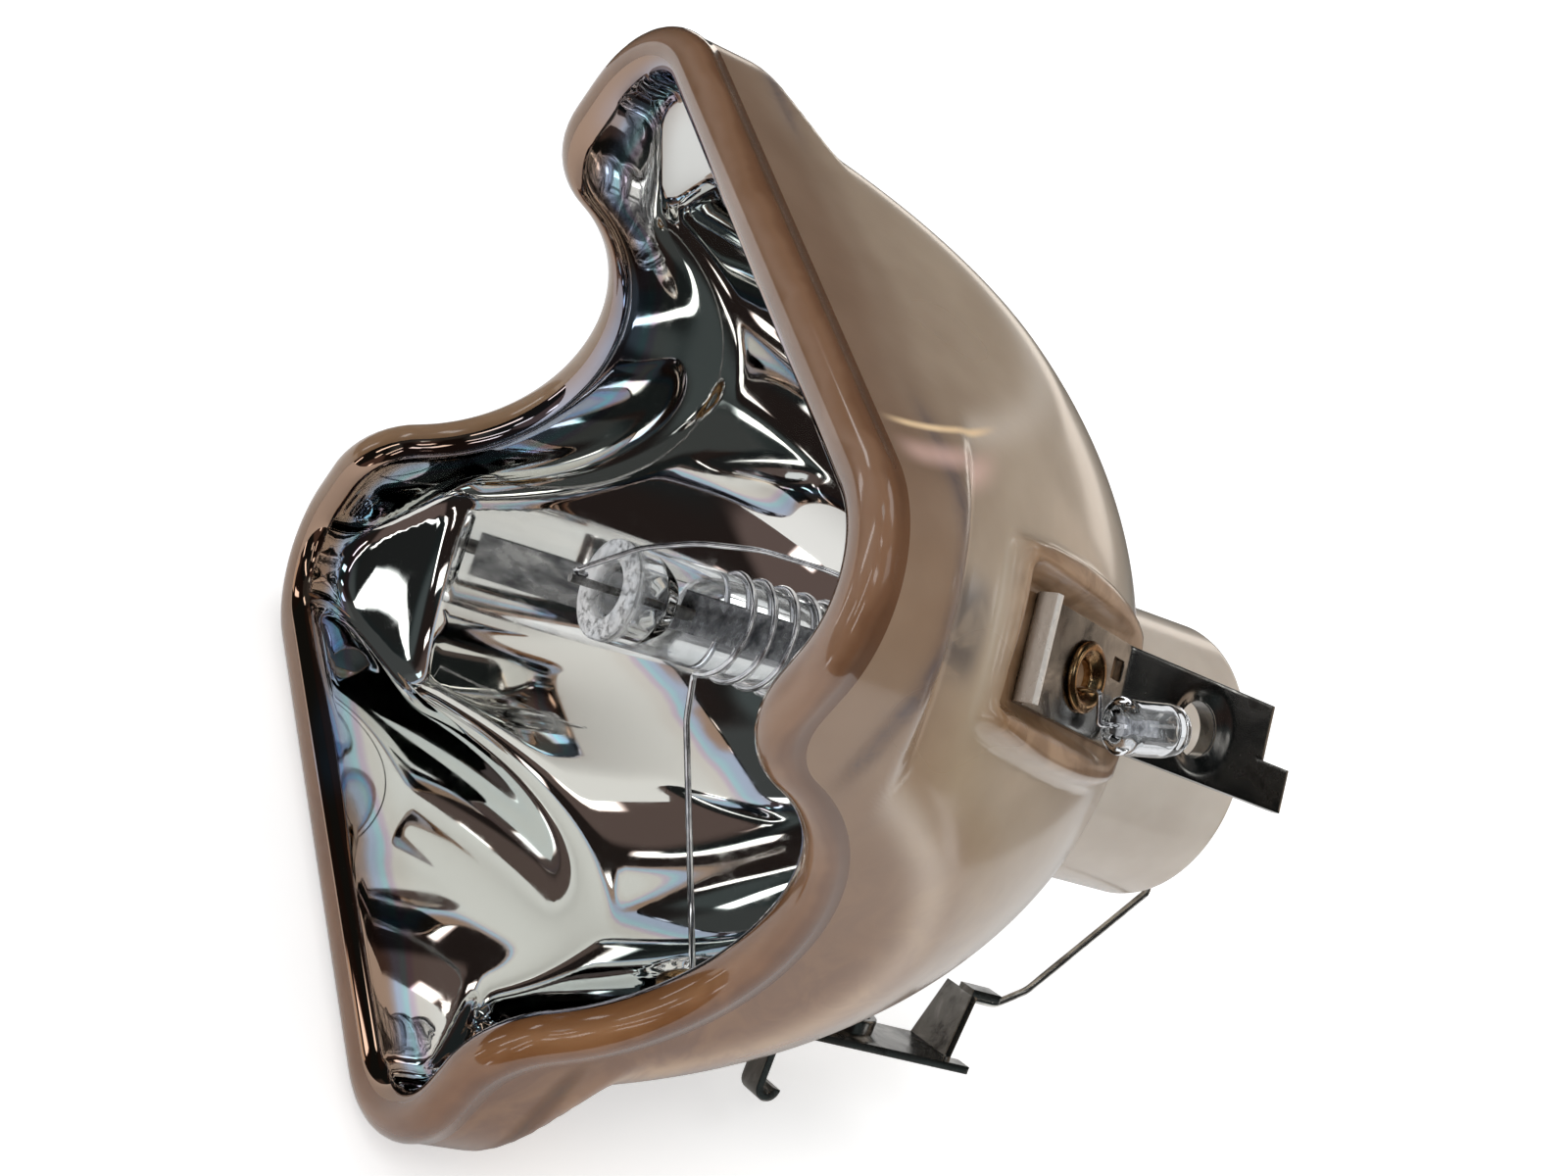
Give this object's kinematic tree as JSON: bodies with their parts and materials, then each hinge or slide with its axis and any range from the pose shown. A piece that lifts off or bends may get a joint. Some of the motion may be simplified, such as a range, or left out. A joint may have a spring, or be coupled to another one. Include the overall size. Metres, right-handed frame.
{
  "type": "projector lamp",
  "caption": "Short-arc discharge lamp: a quartz burner cemented in the neck of a square-mouthed elliptical glass reflector with scalloped sides, screw terminals and a starting capsule",
  "frame": {"origin": "Middle of the mouth, on the optical axis, in the plane of the rim bead's centre line", "axes": "+Y runs along the optical axis from the mouth to the neck; +Z is toward the flat side between the two corners that stand clear of the scallops, above the side terminal; +X is toward the scalloped side that carries the terminals"},
  "size_m": [0.05, 0.0524, 0.0508],
  "materials": {
    "reflector_glass": "satin, warm beige from behind, with a bright dichroic mirror inside",
    "quartz": "clear",
    "tungsten": "satin",
    "molybdenum": "satin",
    "mercury": "mirror bright",
    "cement": "matt, gritty",
    "bright_wire": "bright drawn",
    "nickel_wire": "bright drawn",
    "nickelled_strip": "bright nickel plate",
    "eyelet_brass": "bright",
    "capsule_glass": "clear"
  },
  "bodies": {
    "root": {"reflector": "reflector_glass", "quartz_burner": "quartz", "front_electrode": "tungsten", "rear_electrode": "tungsten", "front_foil": "molybdenum", "rear_foil": "molybdenum", "front_lead_pin": "molybdenum", "rear_lead_pin": "molybdenum", "mercury_dose": "mercury", "neck_cement": "cement", "antenna_wire": "bright_wire", "front_lead_wire": "bright_wire", "rear_lead_wire": "nickel_wire", "side_terminal": "nickelled_strip", "lower_terminal": "nickelled_strip", "side_eyelet": "eyelet_brass", "lower_eyelet": "eyelet_brass", "capsule_foil": "molybdenum", "capsule_lead": "bright_wire", "starter_capsule": "capsule_glass"}
  },
  "joints": []
}
